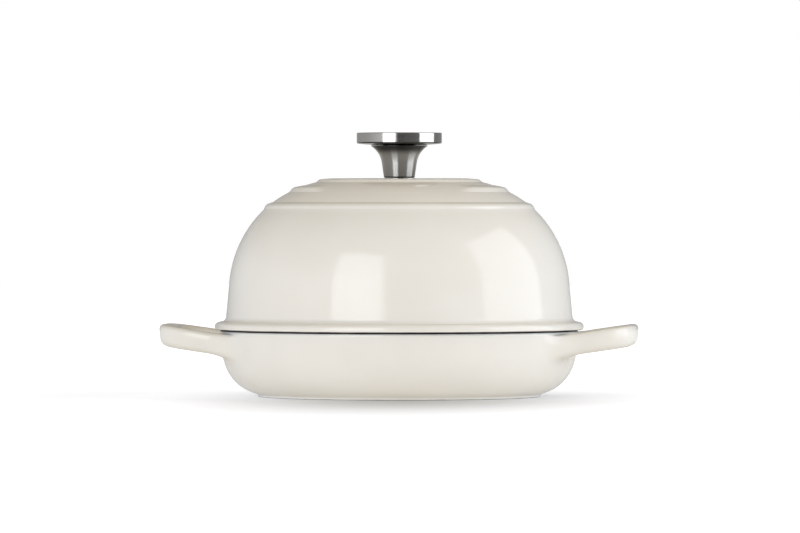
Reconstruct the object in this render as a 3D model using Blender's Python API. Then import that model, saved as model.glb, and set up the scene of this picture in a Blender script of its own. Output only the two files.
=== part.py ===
"""Enamelled cast iron bread oven, closed: a shallow pan with two loop handles, a tall domed lid
that seats in the pan's rim, and a steel knob held by one screw through the lid.

Metres, +Z up. The origin is on the table under the middle of the pan. The handles point along X,
and the plain stretch of the lid's middle step faces -Y, the front.
"""

from math import acos, cos, hypot, pi, radians, sin, sqrt, tan

import bmesh
import bpy
from mathutils import Vector

# Gaps that the pieces keep where one rests on, or fits into, another
FIT_GAP = 0.0003
LIP_CLEARANCE = 0.0006
SCREW_CLEARANCE = 0.0005

# Pan: a shallow dish with drafted sides on a low foot ring
PAN_RIM_R = 0.1209
PAN_H = 0.0446
PAN_WALL = 0.0045
PAN_DRAFT = radians(6.5)
PAN_CORNER_R = 0.0299
RIM_OUTER_ROUND = 0.0018
RIM_INNER_ROUND = 0.0010
FOOT_R = 0.0950
FOOT_W = 0.0090
FOOT_H = 0.0010
FOOT_ROUND = 0.0004

# Ridges on the pan's floor, in rings that lift the loaf
RIDGE_COUNT = 5
RIDGE_PITCH = 0.0125
RIDGE_FIRST_R = 0.0250
RIDGE_W = 0.0036
RIDGE_H = 0.0012

# Loop handles, cast with the pan
HANDLE_REACH = 0.0397
HANDLE_HALF_SPAN = 0.0435
HANDLE_BAR_W = 0.0118
HANDLE_T = 0.0143
HANDLE_DROP = 0.0012
HANDLE_TOP_SLOPE = radians(7.4)
HANDLE_UNDER_SLOPE = radians(8.4)
HANDLE_TOP_ROUND = 0.0046
HANDLE_UNDER_ROUND = 0.0058
HANDLE_SQUARENESS = 4.0
HANDLE_BEND_START = 0.60
HANDLE_OUTER_FILLET = 0.0170
HANDLE_INNER_FILLET = 0.0080
HANDLE_ROOT_DROP = 0.0022
HANDLE_ROOT_REACH = 0.0075
HANDLE_SEAT = 0.0009

# Lid: locating lip, flange, drafted wall, dome, then a stepped crown
LIP_DEPTH = 0.0029
LIP_T = 0.0024
LIP_ROUND = 0.0008
FLANGE_OVERHANG = 0.0031
FLANGE_T = 0.0047
FLANGE_RISE = 0.0009
FLANGE_LOW_ROUND = 0.0019
FLANGE_TOP_ROUND = 0.0028
FLANGE_FILLET = 0.0030
LID_H = 0.1017
LID_WALL = 0.0045
LID_DRAFT = radians(5.3)
DOME_R = 0.0777
DOME_DIP = 0.0011

# Three low steps on the crown: radius of each riser's foot, its shoulder and its inner edge
CROWN_DIP = 0.0003
OUTER_STEP_R = 0.0911
OUTER_STEP_TOP_R = 0.0900
OUTER_STEP_INNER_R = 0.0849
OUTER_STEP_PROUD = 0.0023
OUTER_STEP_ROUND = 0.0040
MIDDLE_STEP_R = 0.0741
MIDDLE_STEP_TOP_R = 0.0715
MIDDLE_STEP_INNER_R = 0.0626
MIDDLE_STEP_PROUD = 0.0018
MIDDLE_STEP_ROUND = 0.0034
PLATEAU_R = 0.0560
PLATEAU_TOP_R = 0.0537
PLATEAU_FLAT_R = 0.0460
PLATEAU_EDGE_DIP = 0.0006
PLATEAU_ROUND = 0.0030
STEP_FILLET = 0.0010

# The middle step fades out across the front
FRONT_GAP_HALF = radians(43.0)
FRONT_GAP_FADE = radians(10.0)

# Knob: a flared stem under a round cap
STEM_FOOT_R = 0.0103
STEM_FOOT_ROUND = 0.0010
STEM_H = 0.0219
STEM_TAPER = radians(8.2)
STEM_FLARE_R = 0.0165
STEM_FLARE_DEPTH = 0.0119
STEM_TOP_R = 0.0190
SPIGOT_R = 0.0110
SPIGOT_H = 0.0022
CAP_R = 0.0286
CAP_T = 0.0082
CAP_UNDER_RISE = 0.0009
CAP_TOP_ROUND = 0.0005
CAP_LOW_ROUND = 0.0016

# Fixing: threaded insert in the stem, and a screw with its washer inside the lid
SCREW_R = 0.0030
SCREW_REACH = 0.0100
SCREW_HEAD_R = 0.0058
SCREW_HEAD_T = 0.0034
SCREW_HEAD_ROUND = 0.0020
WASHER_R = 0.0072
WASHER_T = 0.0010
WASHER_CHAMFER = 0.0002
INSERT_WALL = 0.0018
INSERT_L = 0.0120
INSERT_INSET = 0.0005
INSERT_CHAMFER = 0.0004

# Facets round a full turn
CASTING_SEGMENTS = 48
KNOB_SEGMENTS = 28
SCREW_SEGMENTS = 20

# Facets on arcs
ARC_STEP = radians(27)
CORNER_STEPS = 8
DOME_STEPS = 6
CROWN_STEPS = 3
CROWN_JOIN = radians(1.5)
FLARE_STEPS = 6
SECTION_ARC_STEPS = 3
ARM_SECTIONS = 13
BEND_SECTIONS = 12

# Two arcs on one side use at most this share of it
SIDE_SHARE = 0.98

# Welding distance, and the angle from which an edge is shaded hard
WELD = 1e-6
SHARP_ANGLE = radians(32)

# What follows from the sizes above
PAN_ARC_Z = FOOT_H + PAN_CORNER_R
PAN_ARC_R = (PAN_RIM_R - (PAN_H - PAN_ARC_Z + PAN_CORNER_R * sin(PAN_DRAFT)) * tan(PAN_DRAFT)
             - PAN_CORNER_R * cos(PAN_DRAFT))
PAN_FLOOR_Z = FOOT_H + PAN_WALL
LID_SEAT_Z = PAN_H + FIT_GAP


def pan_outer_r(z):
    """Radius of the pan's drafted outer side at a height."""
    return PAN_RIM_R - (PAN_H - z) * tan(PAN_DRAFT)


def pan_inner_r(z):
    """Radius of the pan's drafted inner side at a height."""
    return pan_outer_r(z) - PAN_WALL / cos(PAN_DRAFT)


FLANGE_R = PAN_RIM_R + FLANGE_OVERHANG
LIP_R = pan_inner_r(LID_SEAT_Z - LIP_DEPTH) - LIP_CLEARANCE
LID_ROOT_Z = FLANGE_T + FLANGE_RISE
LID_ROOT_R = (LIP_R - LIP_T - (LIP_DEPTH + LID_ROOT_Z) * tan(LID_DRAFT)
              + LID_WALL / cos(LID_DRAFT))
DOME_ARC_Z = LID_H + DOME_DIP - DOME_R
DOME_ARC_R = (LID_ROOT_R - (DOME_ARC_Z + DOME_R * sin(LID_DRAFT) - LID_ROOT_Z) * tan(LID_DRAFT)
              - DOME_R * cos(LID_DRAFT))
DOME_END = acos((OUTER_STEP_R - DOME_ARC_R) / DOME_R)
OUTER_STEP_Z = DOME_ARC_Z + DOME_R * sin(DOME_END)
CROWN_RISE = LID_H - CROWN_DIP - OUTER_STEP_Z
CROWN_ARC_R = ((OUTER_STEP_R - DOME_ARC_R) ** 2 + CROWN_RISE ** 2) / (2 * CROWN_RISE)
CROWN_ARC_Z = LID_H - CROWN_DIP - CROWN_ARC_R
CROWN_END = acos((OUTER_STEP_R - DOME_ARC_R) / CROWN_ARC_R)
CEILING_Z = LID_H - CROWN_DIP - LID_WALL
LID_HOLE_R = SCREW_R + SCREW_CLEARANCE
BORE_R = SCREW_R + FIT_GAP + INSERT_WALL + FIT_GAP


def crown_z(r):
    """Height of the plain crown, without its steps, above the lid's seat."""
    return CROWN_ARC_Z + sqrt(CROWN_ARC_R ** 2 - max(r - DOME_ARC_R, 0.0) ** 2)


def arc(centre_r, centre_z, radius, start, end, steps):
    """Points along an arc; the angles run from +r towards +z."""
    turns = [start + (end - start) * i / steps for i in range(steps + 1)]
    return [(centre_r + radius * cos(a), centre_z + radius * sin(a)) for a in turns]


def rounded(corners, closed=False, arc_steps=None):
    """Outline through corners (u, v) or (u, v, radius), with each stated radius made an arc.

    Two arcs that share a side too short for both are made smaller together.
    """
    points = [Vector(c[:2]) for c in corners]
    radii = [c[2] if len(c) > 2 else 0.0 for c in corners]
    count = len(points)
    turns, cuts = [], []
    for i, radius in enumerate(radii):
        before = points[i] - points[i - 1]
        after = points[(i + 1) % count] - points[i]
        ended = not closed and i in (0, count - 1)
        turn = 0.0 if ended else before.angle(after, 0.0)
        turns.append(turn)
        cuts.append(radius * tan(turn / 2))
    limits = [1.0] * count
    for i in range(count if closed else count - 1):
        j = (i + 1) % count
        side = (points[j] - points[i]).length * SIDE_SHARE
        if cuts[i] + cuts[j] > side:
            limits[i] = min(limits[i], side / (cuts[i] + cuts[j]))
            limits[j] = min(limits[j], side / (cuts[i] + cuts[j]))
    outline = []
    for i, point in enumerate(points):
        cut = cuts[i] * limits[i]
        if cut < WELD:
            outline.append(tuple(point))
            continue
        into = (points[i - 1] - point).normalized() * cut
        out_of = (points[(i + 1) % count] - point).normalized() * cut
        radius = cut / tan(turns[i] / 2)
        centre = point + (into + out_of).normalized() * hypot(cut, radius)
        steps = arc_steps or max(2, round(turns[i] / ARC_STEP))
        start, end = point + into - centre, point + out_of - centre
        for k in range(steps + 1):
            swing = k / steps
            weight = sin((1 - swing) * turns[i]), sin(swing * turns[i])
            offset = (start * weight[0] + end * weight[1]) / sin(turns[i])
            outline.append(tuple(centre + offset))
    return outline


def finish_mesh(bm, name):
    """Weld, turn the faces outwards and return the mesh, smooth except at its hard edges."""
    bmesh.ops.remove_doubles(bm, verts=bm.verts, dist=WELD)
    bmesh.ops.recalc_face_normals(bm, faces=bm.faces)
    mesh = bpy.data.meshes.new(name)
    bm.to_mesh(mesh)
    bm.free()
    mesh.shade_smooth()
    mesh.set_sharp_from_angle(angle=SHARP_ANGLE)
    return mesh


def turned_mesh(bm, outline, segments):
    """Spin a closed outline of (r, z) points round the Z axis."""
    verts = [bm.verts.new((r, 0.0, z)) for r, z in outline]
    edges = []
    for i, vert in enumerate(verts):
        other = verts[(i + 1) % len(verts)]
        on_axis = max(vert.co.x, other.co.x) < WELD
        if not on_axis:
            edges.append(bm.edges.new((vert, other)))
    bmesh.ops.spin(bm, geom=verts + edges, axis=(0, 0, 1), cent=(0, 0, 0), angle=2 * pi,
                   steps=segments, use_merge=True)


def material(name, colour, roughness, metallic=0.0, coat=0.0):
    """A Principled material in the piece's plain colour."""
    mat = bpy.data.materials.new(name)
    mat.use_nodes = True
    shader = mat.node_tree.nodes["Principled BSDF"]
    shader.inputs["Base Color"].default_value = (*colour, 1.0)
    shader.inputs["Roughness"].default_value = roughness
    shader.inputs["Metallic"].default_value = metallic
    shader.inputs["Coat Weight"].default_value = coat
    return mat


def add_object(name, mesh, mat, parent=None, z=0.0):
    """Link an object for a mesh, at a height above its parent."""
    obj = bpy.data.objects.new(name, mesh)
    mesh.materials.append(mat)
    obj.location.z = z
    obj.parent = parent
    bpy.context.scene.collection.objects.link(obj)
    return obj


def add_turned(name, outline, segments, mat, parent=None, z=0.0):
    """A turned piece."""
    bm = bmesh.new()
    turned_mesh(bm, outline, segments)
    return add_object(name, finish_mesh(bm, name), mat, parent, z)


def add_guide(name, mesh, mat):
    """A shape that only takes part in a Boolean."""
    guide = add_object(name, mesh, mat)
    guide.hide_render = True
    guide.display_type = "WIRE"
    return guide


def add_boolean(obj, other, operation):
    """Join another shape to the object, or cut it away."""
    modifier = obj.modifiers.new(other.name, "BOOLEAN")
    modifier.operation = operation
    modifier.solver = "EXACT"
    modifier.object = other


def pan_outline():
    """Section of the pan: foot, outer side, rim, inner side and ridged floor."""
    foot_join = PAN_ARC_Z - sqrt(PAN_CORNER_R ** 2 - (FOOT_R - PAN_ARC_R) ** 2)
    low = -acos((FOOT_R - PAN_ARC_R) / PAN_CORNER_R)
    outer = arc(PAN_ARC_R, PAN_ARC_Z, PAN_CORNER_R, low, -PAN_DRAFT, CORNER_STEPS)
    inner = arc(PAN_ARC_R, PAN_ARC_Z, PAN_CORNER_R - PAN_WALL, -PAN_DRAFT, -pi / 2, CORNER_STEPS)
    foot = [(0.0, FOOT_H),
            (FOOT_R - FOOT_W, FOOT_H),
            (FOOT_R - FOOT_W + FOOT_ROUND, 0.0),
            (FOOT_R, 0.0, FOOT_ROUND),
            (FOOT_R, foot_join)]
    rim = [(PAN_RIM_R, PAN_H, RIM_OUTER_ROUND),
           (pan_inner_r(PAN_H), PAN_H, RIM_INNER_ROUND)]
    ridges = []
    for i in reversed(range(RIDGE_COUNT)):
        middle = RIDGE_FIRST_R + RIDGE_PITCH * i
        ridges += [(middle + RIDGE_W / 2, PAN_FLOOR_Z),
                   (middle, PAN_FLOOR_Z + RIDGE_H),
                   (middle - RIDGE_W / 2, PAN_FLOOR_Z)]
    return rounded(foot + outer[1:] + rim + inner + ridges + [(0.0, PAN_FLOOR_Z)])


def root_drop(distance):
    """How far a handle's underside hangs lower at a distance from the pan's wall."""
    return HANDLE_ROOT_DROP * (1.0 - min(max(distance / HANDLE_ROOT_REACH, 0.0), 1.0)) ** 2


def side_fillet(x, wall_r, side_y, radius):
    """Width that an arc adds to an arm's side at x, where it joins the side to the round wall.

    A positive radius bends away from the loop's middle, a negative one towards it.
    """
    size = abs(radius)
    centre_x = sqrt((wall_r + size) ** 2 - (side_y + radius) ** 2)
    touch_x = centre_x * wall_r / (wall_r + size)
    back = centre_x - min(max(x, touch_x), centre_x)
    return size - sqrt(size ** 2 - back ** 2)


def handle_path():
    """Centre line of a loop in plan: straight arms and a squared oval end, from -Y to +Y."""
    bar_x = PAN_RIM_R + HANDLE_REACH - HANDLE_BAR_W / 2
    root_x = sqrt(PAN_RIM_R ** 2 - HANDLE_HALF_SPAN ** 2)
    reach = bar_x - root_x
    start_x = root_x - HANDLE_OUTER_FILLET
    arm_length = root_x + reach * HANDLE_BEND_START - start_x
    arm = []
    for i in range(ARM_SECTIONS):
        x = start_x + arm_length * i / ARM_SECTIONS
        share = max((x - root_x) / reach, 0.0)
        side = (1.0 - share ** HANDLE_SQUARENESS) ** (1.0 / HANDLE_SQUARENESS)
        arm.append((x, -HANDLE_HALF_SPAN * side))
    bend = []
    widest = acos(HANDLE_BEND_START ** (HANDLE_SQUARENESS / 2))
    for i in range(BEND_SECTIONS + 1):
        t = widest * (2 * i / BEND_SECTIONS - 1)
        x = root_x + reach * cos(t) ** (2 / HANDLE_SQUARENESS)
        y = HANDLE_HALF_SPAN * abs(sin(t)) ** (2 / HANDLE_SQUARENESS)
        bend.append((x, y if t > 0 else -y))
    return [Vector(p) for p in arm + bend + [(x, -y) for x, y in reversed(arm)]]


def handle_section(point, across):
    """One closed ring of a loop: a rounded bar that widens and deepens where it meets the pan."""
    half = HANDLE_BAR_W / 2
    bar = [(-half, 0.0, HANDLE_UNDER_ROUND), (half, 0.0, HANDLE_UNDER_ROUND),
           (half, HANDLE_T, HANDLE_TOP_ROUND), (-half, HANDLE_T, HANDLE_TOP_ROUND)]
    ring = []
    for u, v in rounded(bar, closed=True, arc_steps=SECTION_ARC_STEPS):
        x = point.x + across.x * u
        top = PAN_H - HANDLE_DROP + (x - PAN_RIM_R) * tan(HANDLE_TOP_SLOPE)
        under = (PAN_H - HANDLE_DROP - HANDLE_T
                 + (x - PAN_RIM_R) * tan(HANDLE_UNDER_SLOPE))
        z = under + (top - under) * v / HANDLE_T
        wall_r = pan_outer_r(z) - HANDLE_SEAT
        if u > 0:
            added = side_fillet(x, wall_r, HANDLE_HALF_SPAN + half, HANDLE_OUTER_FILLET)
        else:
            added = side_fillet(x, wall_r, HANDLE_HALF_SPAN - half, -HANDLE_INNER_FILLET)
        place = point + across * (u + u / half * added)
        drop = root_drop(place.length - wall_r) * (1.0 - v / HANDLE_T)
        ring.append((place.x, place.y, z - drop))
    return ring


def handle_mesh(name):
    """A loop handle towards +X, with its roots reaching through the pan's wall."""
    bm = bmesh.new()
    path = handle_path()
    rings = []
    for i, point in enumerate(path):
        along = path[min(i + 1, len(path) - 1)] - path[max(i - 1, 0)]
        across = Vector((along.y, -along.x)).normalized()
        section = handle_section(point, across)
        rings.append([bm.verts.new(co) for co in section])
    for first, second in zip(rings, rings[1:]):
        for i in range(len(first)):
            j = (i + 1) % len(first)
            bm.faces.new((first[i], first[j], second[j], second[i]))
    bm.faces.new(rings[0])
    bm.faces.new(reversed(rings[-1]))
    return finish_mesh(bm, name)


def make_pan(enamel):
    """The pan, with both loop handles joined to it."""
    pan = add_turned("base_pan", pan_outline(), CASTING_SEGMENTS, enamel)
    mid_wall = PAN_WALL / 2
    low, high = PAN_FLOOR_Z + PAN_CORNER_R / 2, PAN_H + PAN_WALL
    core = [(0.0, low), (pan_outer_r(low) - mid_wall, low),
            (pan_outer_r(high) - mid_wall, high), (0.0, high)]
    bm = bmesh.new()
    turned_mesh(bm, core, CASTING_SEGMENTS)
    trimmer = add_guide("handle_root_trimmer", finish_mesh(bm, "handle_root_trimmer"), enamel)
    for name, turn in (("handle_east", 0.0), ("handle_west", pi)):
        loop = add_guide(name, handle_mesh(name), enamel)
        loop.rotation_euler.z = turn
        add_boolean(loop, trimmer, "DIFFERENCE")
        add_boolean(pan, loop, "UNION")
    return pan


def lid_outline():
    """Section of the lid, from its screw hole out over the crown, down the wall and back inside."""
    plateau = [(LID_HOLE_R, LID_H),
               (PLATEAU_FLAT_R, LID_H),
               (PLATEAU_TOP_R, LID_H - PLATEAU_EDGE_DIP, PLATEAU_ROUND),
               (PLATEAU_R, crown_z(PLATEAU_R), STEP_FILLET)]
    middle = [(MIDDLE_STEP_INNER_R, crown_z(MIDDLE_STEP_INNER_R), STEP_FILLET),
              (MIDDLE_STEP_TOP_R, crown_z(MIDDLE_STEP_TOP_R) + MIDDLE_STEP_PROUD,
               MIDDLE_STEP_ROUND),
              (MIDDLE_STEP_R, crown_z(MIDDLE_STEP_R), STEP_FILLET)]
    slope_r = (MIDDLE_STEP_R + OUTER_STEP_INNER_R) / 2
    outer = [(slope_r, crown_z(slope_r)),
             (OUTER_STEP_INNER_R, crown_z(OUTER_STEP_INNER_R), STEP_FILLET),
             (OUTER_STEP_TOP_R, crown_z(OUTER_STEP_TOP_R) + OUTER_STEP_PROUD, OUTER_STEP_ROUND)]
    dome = arc(DOME_ARC_R, DOME_ARC_Z, DOME_R, DOME_END, LID_DRAFT, DOME_STEPS)
    flange = [(LID_ROOT_R, LID_ROOT_Z, FLANGE_FILLET),
              (FLANGE_R, FLANGE_T, FLANGE_TOP_ROUND),
              (FLANGE_R, 0.0, FLANGE_LOW_ROUND),
              (LIP_R, 0.0)]
    lip = [(LIP_R, -LIP_DEPTH, LIP_ROUND),
           (LIP_R - LIP_T, -LIP_DEPTH, LIP_ROUND)]
    inner_dome = arc(DOME_ARC_R, DOME_ARC_Z, DOME_R - LID_WALL, LID_DRAFT, DOME_END - CROWN_JOIN,
                     DOME_STEPS)
    inner_crown = arc(DOME_ARC_R, CROWN_ARC_Z, CROWN_ARC_R - LID_WALL, CROWN_END + CROWN_JOIN,
                      pi / 2, CROWN_STEPS)
    return rounded(plateau + middle + outer + dome + flange + lip + inner_dome + inner_crown
                   + [(LID_HOLE_R, CEILING_Z)])


def fade_middle_step(mesh):
    """Sink the middle step into the crown across the front, with a soft fade at either side."""
    for vert in mesh.vertices:
        r = hypot(vert.co.x, vert.co.y)
        on_step = MIDDLE_STEP_INNER_R < r < MIDDLE_STEP_R
        if not on_step or vert.co.z < crown_z(r) - LID_WALL / 2:
            continue
        from_front = acos(max(-1.0, min(1.0, -vert.co.y / r)))
        shown = (from_front - FRONT_GAP_HALF) / FRONT_GAP_FADE + 0.5
        shown = min(max(shown, 0.0), 1.0)
        smooth = shown * shown * (3 - 2 * shown)
        vert.co.z = crown_z(r) + (vert.co.z - crown_z(r)) * smooth


def stem_outline():
    """Section of the knob's stem: a taper that flares out under the cap, round a blind bore."""
    taper_end = STEM_H - STEM_FLARE_DEPTH
    taper_r = STEM_FOOT_R + taper_end * tan(STEM_TAPER)
    centre_r = taper_r + STEM_FLARE_R * cos(STEM_TAPER)
    centre_z = taper_end - STEM_FLARE_R * sin(STEM_TAPER)
    start = pi - STEM_TAPER
    end = acos((STEM_TOP_R - centre_r) / STEM_FLARE_R)
    flare = arc(centre_r, centre_z, STEM_FLARE_R, start, end, FLARE_STEPS)
    bore_end = INSERT_INSET + INSERT_L + FIT_GAP
    return rounded([(BORE_R, 0.0), (STEM_FOOT_R, 0.0, STEM_FOOT_ROUND)] + flare
                   + [(STEM_TOP_R, STEM_H), (SPIGOT_R, STEM_H), (SPIGOT_R, STEM_H + SPIGOT_H),
                      (0.0, STEM_H + SPIGOT_H), (0.0, bore_end), (BORE_R, bore_end)])


def cap_outline():
    """Section of the knob's cap: a flat disc with a slightly coned underside and a socket."""
    socket_r = SPIGOT_R + FIT_GAP
    socket_h = SPIGOT_H + FIT_GAP
    return rounded([(0.0, socket_h), (socket_r, socket_h), (socket_r, 0.0), (STEM_TOP_R, 0.0),
                    (CAP_R, CAP_UNDER_RISE, CAP_LOW_ROUND), (CAP_R, CAP_T, CAP_TOP_ROUND),
                    (0.0, CAP_T)])


def tube_outline(inner_r, outer_r, length, chamfer):
    """Section of a plain ring or tube with broken outer edges."""
    return [(inner_r, 0.0), (outer_r - chamfer, 0.0), (outer_r, chamfer),
            (outer_r, length - chamfer), (outer_r - chamfer, length), (inner_r, length)]


def screw_outline():
    """Section of the screw, head down: the head's underside is at height zero."""
    top = FIT_GAP + WASHER_T + FIT_GAP + LID_WALL + CROWN_DIP + FIT_GAP + SCREW_REACH
    return rounded([(0.0, -SCREW_HEAD_T), (SCREW_HEAD_R, -SCREW_HEAD_T, SCREW_HEAD_ROUND),
                    (SCREW_HEAD_R, 0.0), (SCREW_R, 0.0), (SCREW_R, top - INSERT_CHAMFER),
                    (SCREW_R - INSERT_CHAMFER, top), (0.0, top)])


def make_knob(steel, dark_steel, lid_frame):
    """The knob's stem and cap on the lid, with the insert, screw and washer that hold them."""
    stem_z = LID_H + FIT_GAP
    cap_z = stem_z + STEM_H + FIT_GAP
    washer_z = CEILING_Z - FIT_GAP - WASHER_T
    insert_r = SCREW_R + FIT_GAP + INSERT_WALL
    washer = tube_outline(LID_HOLE_R, WASHER_R, WASHER_T, WASHER_CHAMFER)
    insert = tube_outline(SCREW_R + FIT_GAP, insert_r, INSERT_L, INSERT_CHAMFER)
    add_turned("knob_stem", stem_outline(), KNOB_SEGMENTS, steel, lid_frame, stem_z)
    add_turned("knob_cap", cap_outline(), KNOB_SEGMENTS, steel, lid_frame, cap_z)
    add_turned("knob_insert", insert, SCREW_SEGMENTS, dark_steel, lid_frame,
               stem_z + INSERT_INSET)
    add_turned("screw_washer", washer, SCREW_SEGMENTS, dark_steel, lid_frame, washer_z)
    add_turned("knob_screw", screw_outline(), SCREW_SEGMENTS, dark_steel, lid_frame,
               washer_z - FIT_GAP)


def build():
    """Clear the scene and model the bread oven, closed."""
    for obj in list(bpy.data.objects):
        bpy.data.objects.remove(obj)
    enamel = material("cream_enamel", (0.80, 0.76, 0.69), 0.12, coat=0.3)
    steel = material("brushed_steel", (0.56, 0.55, 0.53), 0.28, metallic=1.0)
    dark_steel = material("screw_steel", (0.42, 0.41, 0.40), 0.35, metallic=1.0)
    make_pan(enamel)
    lid_frame = bpy.data.objects.new("lid_frame", None)
    lid_frame.location.z = LID_SEAT_Z
    bpy.context.scene.collection.objects.link(lid_frame)
    lid = add_turned("dome_lid", lid_outline(), CASTING_SEGMENTS, enamel, lid_frame)
    fade_middle_step(lid.data)
    make_knob(steel, dark_steel, lid_frame)


build()
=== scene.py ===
"""Enamelled cast iron bread oven, closed, on a white studio table.

Metres, +Z up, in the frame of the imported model: the table is at z = 0 under the middle of the pan,
the loop handles point along X and the plain stretch of the lid's middle step faces -Y.
"""

from math import acos, atan2, cos, hypot, pi, radians, sin, sqrt, tan

import bmesh
import bpy
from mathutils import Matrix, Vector


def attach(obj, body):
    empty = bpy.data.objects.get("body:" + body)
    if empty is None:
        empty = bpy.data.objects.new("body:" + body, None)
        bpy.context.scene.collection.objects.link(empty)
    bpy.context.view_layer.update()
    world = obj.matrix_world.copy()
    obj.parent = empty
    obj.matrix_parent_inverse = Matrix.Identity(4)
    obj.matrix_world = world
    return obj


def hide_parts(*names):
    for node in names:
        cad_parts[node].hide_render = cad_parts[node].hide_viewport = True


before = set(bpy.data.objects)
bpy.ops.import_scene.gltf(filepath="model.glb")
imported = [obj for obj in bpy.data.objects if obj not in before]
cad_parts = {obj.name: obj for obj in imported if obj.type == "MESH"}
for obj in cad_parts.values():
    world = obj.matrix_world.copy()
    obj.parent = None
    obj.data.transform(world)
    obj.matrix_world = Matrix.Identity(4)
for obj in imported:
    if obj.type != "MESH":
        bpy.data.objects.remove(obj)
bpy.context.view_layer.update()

# Pan casting: a shallow dish of cast iron, poured in one piece with its two loop handles.
# Its sides lean out by the pattern's draft, so that it leaves the sand mould, and every
# corner is round, because enamel flakes off a sharp one.

RIM_R = 0.1209
RIM_Z = 0.0446
PAN_WALL = 0.0045
PAN_DRAFT = radians(6.5)
PAN_CORNER_R = 0.0299
RIM_OUTER_ROUND = 0.0016
RIM_INNER_ROUND = 0.0009
FOOT_R = 0.0950
FOOT_W = 0.0086
FOOT_H = 0.0010
FOOT_ROUND = 0.0007
FLOOR_Z = FOOT_H + PAN_WALL
PAN_ARC_Z = FOOT_H + PAN_CORNER_R
PAN_ARC_R = (RIM_R - (RIM_Z - PAN_ARC_Z + PAN_CORNER_R * sin(PAN_DRAFT)) * tan(PAN_DRAFT)
             - PAN_CORNER_R * cos(PAN_DRAFT))
PAN_STEPS = 120
PAN_CORNER_STEPS = 7
BOWL_CORNER_STEPS = 6
SAME_PLACE = 1e-6

RIDGE_COUNT = 5
RIDGE_PITCH = 0.0125
RIDGE_FIRST_R = 0.0250
RIDGE_HALF = 0.0018
RIDGE_TOP_HALF = 0.0006
RIDGE_H = 0.0014

OPENING_LOW = radians(-11.0)
OPENING_TOP_Z = 0.0427
OPENING_ROWS = 4


def arc(centre_r, centre_z, radius, start, end, steps):
    """Points (r, z) along an arc; the angles run from +r towards +z."""
    turns = [start + (end - start) * i / steps for i in range(steps + 1)]
    return [(centre_r + radius * cos(a), centre_z + radius * sin(a)) for a in turns]


def select_where(wanted, more=False):
    """Select the vertices whose place is wanted, in the mesh that is being edited."""
    if not more:
        bpy.ops.mesh.select_all(action="DESELECT")
    mesh = bpy.context.edit_object.data
    bm = bmesh.from_edit_mesh(mesh)
    for vert in bm.verts:
        if wanted(vert.co):
            vert.select_set(True)
    bm.select_flush_mode()
    bmesh.update_edit_mesh(mesh)


def draw_section(name, corners, segments):
    """Begin a piece with its half section: one vertex, extruded from corner to corner.

    A corner (r, z, radius) is then bevelled to an arc of that radius.
    """
    bpy.ops.object.select_all(action="DESELECT")
    bpy.ops.mesh.primitive_plane_add(size=RIM_R)
    bpy.context.object.name = bpy.context.object.data.name = name
    bpy.ops.object.mode_set(mode="EDIT")
    bpy.ops.mesh.merge(type="CENTER")
    bpy.ops.transform.translate(value=(corners[0][0], 0, corners[0][1]))
    for here, there in zip(corners, corners[1:]):
        move = (there[0] - here[0], 0, there[1] - here[1])
        bpy.ops.mesh.extrude_region_move(TRANSFORM_OT_translate={"value": move})
    for before, corner, after in zip(corners, corners[1:], corners[2:]):
        if len(corner) > 2:
            place = Vector(corner[:2])
            turn = (place - Vector(before[:2])).angle(Vector(after[:2]) - place)
            select_where(lambda co: hypot(co.x - corner[0], co.z - corner[1]) < SAME_PLACE)
            bpy.ops.mesh.bevel(offset=corner[2] * tan(turn / 2), segments=segments,
                               affect="VERTICES")


def turned(name, corners, segments, steps, angle=2 * pi):
    """A piece spun round the Z axis from its half section, welded, with its faces outwards."""
    draw_section(name, corners, segments)
    bpy.ops.mesh.select_all(action="SELECT")
    bpy.ops.mesh.spin(steps=steps, angle=angle, center=(0, 0, 0), axis=(0, 0, 1))
    bpy.ops.mesh.select_all(action="SELECT")
    bpy.ops.mesh.remove_doubles(threshold=SAME_PLACE)
    bpy.ops.mesh.normals_make_consistent(inside=False)
    bpy.ops.object.mode_set(mode="OBJECT")
    return bpy.context.object


def pan_side(z):
    """Radius of the pan's outer side at a height."""
    return RIM_R - (RIM_Z - z) * tan(PAN_DRAFT)


def pan_corners():
    """Half section of the pan: foot ring, outer side, rim, inner side and ridged floor."""
    low = -acos((FOOT_R - PAN_ARC_R) / PAN_CORNER_R)
    outer = arc(PAN_ARC_R, PAN_ARC_Z, PAN_CORNER_R, low, OPENING_LOW, PAN_CORNER_STEPS)
    wall_low = PAN_ARC_Z - PAN_CORNER_R * sin(PAN_DRAFT)
    heights = [wall_low + (OPENING_TOP_Z - wall_low) * i / OPENING_ROWS
               for i in range(OPENING_ROWS + 1)]
    inner_r = pan_side(RIM_Z) - PAN_WALL / cos(PAN_DRAFT)
    inner = arc(PAN_ARC_R, PAN_ARC_Z, PAN_CORNER_R - PAN_WALL, -PAN_DRAFT, -pi / 2,
                BOWL_CORNER_STEPS)
    floor = []
    for i in reversed(range(RIDGE_COUNT)):
        middle = RIDGE_FIRST_R + RIDGE_PITCH * i
        floor += [(middle + RIDGE_HALF, FLOOR_Z), (middle + RIDGE_TOP_HALF, FLOOR_Z + RIDGE_H),
                  (middle - RIDGE_TOP_HALF, FLOOR_Z + RIDGE_H), (middle - RIDGE_HALF, FLOOR_Z)]
    return ([(0, FOOT_H), (FOOT_R - FOOT_W, FOOT_H, FOOT_ROUND),
             (FOOT_R - FOOT_W + FOOT_ROUND, 0, FOOT_ROUND), (FOOT_R, 0, FOOT_ROUND)]
            + outer + [(pan_side(z), z) for z in heights]
            + [(RIM_R, RIM_Z, RIM_OUTER_ROUND), (inner_r, RIM_Z, RIM_INNER_ROUND)]
            + inner + floor + [(0, FLOOR_Z)])


pan = turned("pan_casting", pan_corners(), segments=3, steps=PAN_STEPS // 4, angle=pi / 2)

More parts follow.
